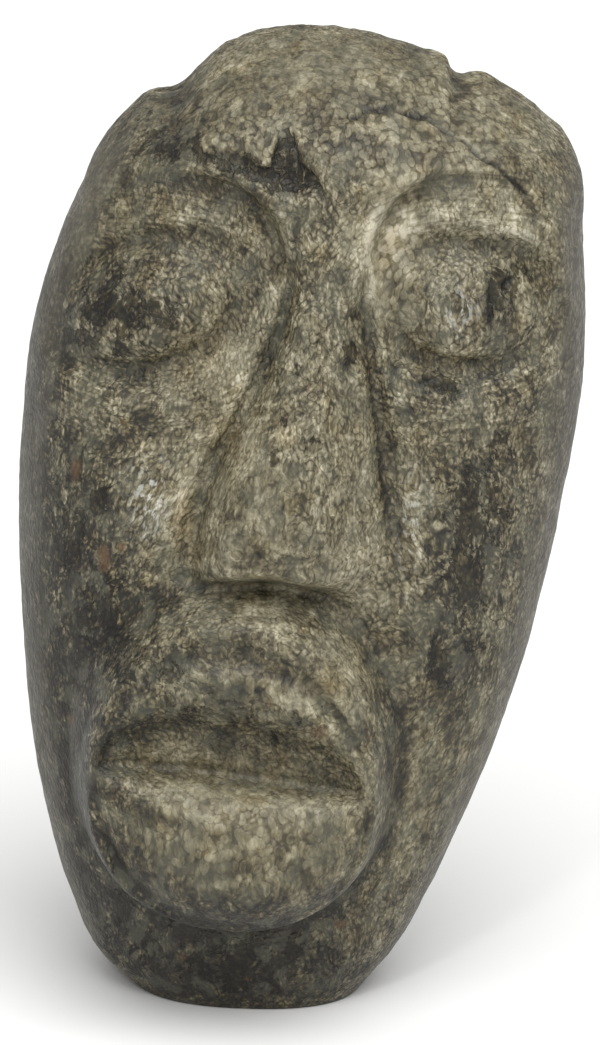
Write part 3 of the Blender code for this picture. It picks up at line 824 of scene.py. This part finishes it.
def field_places(tree, name):
    return add_node(tree, "ShaderNodeAttribute", attribute_name=name).outputs["Vector"]


def vector(tree, operation, first, second):
    return add_node(tree, "ShaderNodeVectorMath", {0: first, 1: second}, operation=operation).outputs[0]


def cloud(tree, places, per_mm, detail=2.0, roughness=0.55):
    """Soft noise about 0.5."""
    inputs = {"Vector": places, "Scale": per_mm, "Detail": detail, "Roughness": roughness}
    return add_node(tree, "ShaderNodeTexNoise", inputs).outputs["Fac"]


def drawn_out(tree, places, stretch):
    """Places drawn together upwards, which draws the marks on them out."""
    return vector(tree, "MULTIPLY", places, (1, 1, stretch))


def pebbles(tree, places, per_mm, gap, flat):
    """Packed bone cells with dark gaps, pale and flat in their middles, some paler than others."""
    spots = add_node(tree, "ShaderNodeTexVoronoi", {"Vector": places, "Scale": per_mm})
    chance = add_node(tree, "ShaderNodeSeparateColor", {"Color": spots.outputs["Color"]}).outputs["Red"]
    dome = between(tree, spots.outputs["Distance"], gap, flat)
    return total(tree, (dome, 0.8), (chance, 0.35), -0.1)


def squiggles(tree, places, per_mm, width):
    """Fine curling lines, 1 on a line and 0 off it, where soft noise crosses its middle."""
    off_line = calc(tree, "ABSOLUTE", calc(tree, "SUBTRACT", cloud(tree, places, per_mm, 1.0), 0.5))
    return between(tree, off_line, width, 0.0)


def grain_places(tree):
    """Places in millimetres, and the same along the run of the grain, gently bent."""
    place = add_node(tree, "ShaderNodeTexCoord").outputs["Object"]
    in_mm = vector(tree, "MULTIPLY", place, (1 / MM,) * 3)
    waves = add_node(tree, "ShaderNodeTexNoise", {"Vector": in_mm, "Scale": BENDS_PER_MM, "Detail": 1.0})
    bend = vector(tree, "MULTIPLY", waves.outputs["Color"], GRAIN_BEND)
    return in_mm, vector(tree, "ADD", field_places(tree, "grain"), bend)


def bone_fibre(tree, grain):
    """Fibres along the grain, which turn into rings round the muzzle and the eyes."""
    along = cloud(tree, drawn_out(tree, grain, FIBRE_STRETCH), *FIBRES)
    round_forms = cloud(tree, field_places(tree, "rings"), *FIBRES)
    return mix_values(tree, field(tree, "in_rings"), along, round_forms)


def fine_lines(tree, grain, coarse):
    """Pale and dark hair lines between the fibres, weaker where the cells are large."""
    pale = squiggles(tree, vector(tree, "ADD", grain, (9, 5, 0)), *PALE_LINES)
    dark = squiggles(tree, vector(tree, "ADD", grain, (0, 3, 7)), *DARK_LINES)
    lines = total(tree, (pale, 0.18), (dark, -0.26))
    return calc(tree, "MULTIPLY", lines, between(tree, coarse, 1.0, 0.0, 0.35, 1.0))


def bone_surface(tree, grain, fibre, coarse):
    """The tone of cells, fibres and lines, evened out where the bone is soft, and the height of the same."""
    cells = calc(tree, "MULTIPLY", pebbles(tree, grain, *CELLS), 0.40)
    grit = calc(tree, "MULTIPLY", pebbles(tree, grain, *GRIT), 0.32)
    packed = mix_values(tree, coarse, grit, cells)
    mottle = cloud(tree, grain, *MOTTLE)
    fine = total(tree, packed, (fibre, 1.0), (coarse, -0.04), fine_lines(tree, grain, coarse), -0.03)
    fine = mix_values(tree, total(tree, (field(tree, "soft"), 0.42), 0.12), fine, 0.63)
    return total(tree, fine, (mottle, 0.9), -0.625), total(tree, packed, (fibre, 0.4), (mottle, 0.5))


def dark_patches(tree, grain, surface, coarse):
    """Patches that a stain breaks up into, 0 to 1."""
    patches = cloud(tree, grain, *PATCHES)
    level = total(tree, patches, (field(tree, "stain"), 0.37), (coarse, -0.02), (surface, -0.16))
    return between(tree, level, 0.61, 0.69)


def bone_tone(tree, in_mm, surface):
    """How pale the bone is, painted shade and light included, with more contrast where it is dark."""
    broad = cloud(tree, drawn_out(tree, in_mm, BROAD_STRETCH), *BROAD)
    darkness = calc(tree, "MAXIMUM", field(tree, "shade"), -0.4)
    contrast = calc(tree, "MULTIPLY", darkness, calc(tree, "SUBTRACT", surface, 0.5))
    weighed = [(field(tree, name), weight) for name, weight in TONE_WEIGHTS.items()]
    return total(tree, surface, (contrast, 0.36), (broad, 0.6), *weighed, TONE_LEVEL)


def tone_colour(tree, tone):
    """The bone's own colour at each tone."""
    ramp = add_node(tree, "ShaderNodeValToRGB", {"Fac": tone})
    stops = ramp.color_ramp.elements
    for index, (place, colour) in enumerate(BONE_TONES):
        stop = stops[index] if index < 2 else stops.new(place)
        stop.position = place
        stop.color = (*colour, 1)
    return ramp.outputs["Color"]


def bone_colour(tree, in_mm, grain):
    """The colour, the tone that the polish follows and the height that the bump follows."""
    coarse = between(tree, field(tree, "coarse"), 0.1, 0.8)
    fibre = bone_fibre(tree, grain)
    surface, height = bone_surface(tree, grain, fibre, coarse)
    patch = dark_patches(tree, grain, surface, coarse)
    hue = cloud(tree, vector(tree, "ADD", grain, (40, 0, 0)), *HUES)
    sparks = cloud(tree, drawn_out(tree, grain, SPARK_STRETCH), *SPARKS)
    painted_glints = calc(tree, "MULTIPLY", field(tree, "glint"), between(tree, sparks, 0.50, 0.63))
    rusty = between(tree, field(tree, "rust"), 0.2, 0.7)
    rust = calc(tree, "MULTIPLY", rusty, between(tree, fibre, 0.30, 0.50))
    layers = [
        (between(tree, hue, 0.52, 0.40, 0, 0.32), GREEN_GREY, "MIX"),
        (between(tree, hue, 0.56, 0.68, 0, 0.32), OCHRE, "SOFT_LIGHT"),
        (calc(tree, "MULTIPLY", field(tree, "ochre"), 0.55), OCHRE, "OVERLAY"),
        (calc(tree, "MULTIPLY", patch, 0.85), DARK_PATCH, "MULTIPLY"),
        # painted grey sheen on the flanks, standing in for their reflection
        (calc(tree, "MULTIPLY", field(tree, "painted_flank_sheen"), 0.62), FLANK_SHEEN_GREY, "MIX"),
        # pale specks painted in as glints where the surface is polished
        (calc(tree, "MULTIPLY", painted_glints, 0.75), GLINT_PAINT, "MIX"),
        (calc(tree, "MULTIPLY", rust, 0.7), RUST, "MIX"),
    ]
    colour = tone_colour(tree, bone_tone(tree, in_mm, surface))
    for amount, layer, how in layers:
        colour = mix_colours(tree, amount, colour, layer, how)
    return colour, surface, total(tree, height, (patch, -0.3))


def bone_material():
    """Mineralised bone: pale grains, upright fibres, dark stains, pores and a rubbed polish, with painted
    shade, a painted flank sheen and painted glints.
    """
    material = bpy.data.materials.new("weathered_bone")
    material.use_nodes = True
    tree = material.node_tree
    shader = tree.nodes["Principled BSDF"]
    in_mm, grain = grain_places(tree)
    colour, surface, height = bone_colour(tree, in_mm, grain)
    tree.links.new(colour, shader.inputs["Base Color"])
    roughness = between(tree, surface, 0.2, 0.9, *ROUGHNESS)
    roughness = total(tree, roughness, (field(tree, "glint"), -GLINT_POLISH))
    tree.links.new(roughness, shader.inputs["Roughness"])
    fine_relief = {"Height": height, "Strength": BUMP_STRENGTH, "Distance": BUMP_DEPTH}
    bump = add_node(tree, "ShaderNodeBump", fine_relief)
    tree.links.new(bump.outputs["Normal"], shader.inputs["Normal"])
    shader.inputs["IOR"].default_value = 1.5
    shader.inputs["Specular IOR Level"].default_value = 0.35
    return material


def carving():
    piece = bpy.data.objects.new("carved_bone_face", carved_bone())
    bpy.context.scene.collection.objects.link(piece)
    piece.data.materials.append(bone_material())
    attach(piece, "root")
    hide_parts(NODE)


def direction(around, up):
    """A step of 1 towards a place round to the right of the front and up, in degrees."""
    level = math.cos(math.radians(up))
    return Vector((math.sin(math.radians(around)) * level, -math.cos(math.radians(around)) * level,
                   math.sin(math.radians(up))))


def camera():
    data = bpy.data.cameras.new("camera")
    data.sensor_width = SENSOR
    data.lens = SENSOR * FOCAL_PIXELS / IMAGE_HEIGHT
    data.shift_y = -FRAMING_DROP / IMAGE_HEIGHT
    data.clip_start = 0.01
    away = direction(0, CAMERA_RISE)
    item = bpy.data.objects.new("camera", data)
    item.location = AIM + away * CAMERA_DISTANCE
    item.rotation_mode = "QUATERNION"
    facing = (-away).to_track_quat("-Z", "Y")
    item.rotation_quaternion = facing @ Quaternion((0, 0, 1), math.radians(CAMERA_ROLL))
    bpy.context.scene.collection.objects.link(item)
    bpy.context.scene.camera = item


def studio():
    for name, around, up, spread, strength in LAMPS:
        lamp = bpy.data.lights.new(name, "SUN")
        lamp.angle = math.radians(spread)
        lamp.energy = strength
        item = bpy.data.objects.new(name, lamp)
        towards = direction(around, up)
        item.rotation_euler = (-towards).to_track_quat("-Z", "Y").to_euler()
        item.location = AIM + towards
        bpy.context.scene.collection.objects.link(item)
    world = bpy.data.worlds.new("studio")
    world.use_nodes = True
    sky = world.node_tree.nodes["Background"]
    sky.inputs["Color"].default_value = (1, 1, 1, 1)
    sky.inputs["Strength"].default_value = SKY
    bpy.context.scene.world = world
    bpy.context.scene.view_settings.view_transform = "Standard"


def floor():
    sheet = bmesh.new()
    bmesh.ops.create_grid(sheet, x_segments=1, y_segments=1, size=FLOOR_SIZE)
    mesh = bpy.data.meshes.new("floor")
    sheet.to_mesh(mesh)
    sheet.free()
    material = bpy.data.materials.new("pale_floor")
    material.use_nodes = True
    shader = material.node_tree.nodes["Principled BSDF"]
    shader.inputs["Base Color"].default_value = FLOOR_COLOUR
    shader.inputs["Roughness"].default_value = FLOOR_ROUGHNESS
    mesh.materials.append(material)
    item = bpy.data.objects.new("floor", mesh)
    bpy.context.scene.collection.objects.link(item)


camera()
studio()
floor()
carving()
